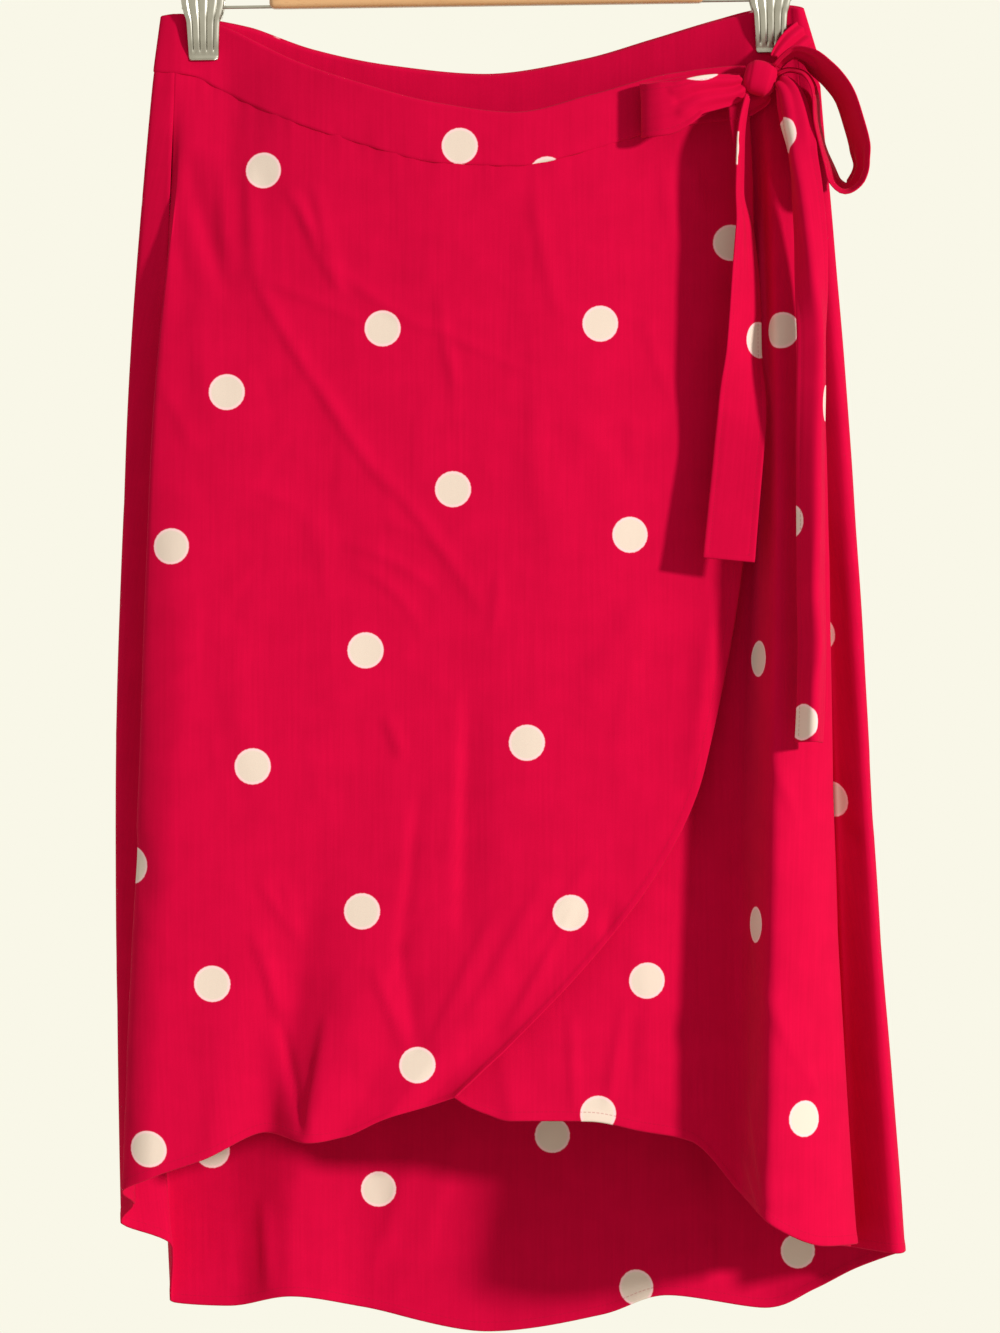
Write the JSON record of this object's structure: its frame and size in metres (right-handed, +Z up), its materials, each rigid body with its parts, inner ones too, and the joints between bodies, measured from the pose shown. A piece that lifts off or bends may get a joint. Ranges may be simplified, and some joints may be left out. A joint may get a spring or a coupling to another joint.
{
  "type": "wrap skirt on clip hanger",
  "caption": "Midi wrap skirt with a curved overlap, high-low hem and side bow, hung flat from a wooden clip hanger.",
  "frame": {"origin": "where the rail touches the inside of the hanger's hook", "axes": "+Z up along the hook, +X to the right as the front is seen, and the front faces -Y"},
  "size_m": [0.4741, 0.1392, 0.9239],
  "materials": {
    "cloth_red": "matt woven viscose with pale dots",
    "beech": "clear satin lacquer",
    "nickel": "nickel plated"
  },
  "bodies": {
    "root": {"overlap_panel": "cloth_red", "back_panel": "cloth_red", "underlap_panel": "cloth_red", "waistband_overlap": "cloth_red", "waistband_back": "cloth_red", "waistband_underlap": "cloth_red", "tail_front": "cloth_red", "tail_side": "cloth_red", "bow_loop_right": "cloth_red", "bow_loop_left": "cloth_red", "tie_from_side": "cloth_red", "tie_from_band": "cloth_red", "bow_knot": "cloth_red", "hanger_bar": "beech", "hanger_hook": "nickel", "hanger_rod_left": "nickel", "hanger_rod_right": "nickel", "clip_left_front": "nickel", "clip_left_back": "nickel", "clip_spring_left": "nickel", "clip_right_front": "nickel", "clip_right_back": "nickel", "clip_spring_right": "nickel"}
  },
  "joints": []
}
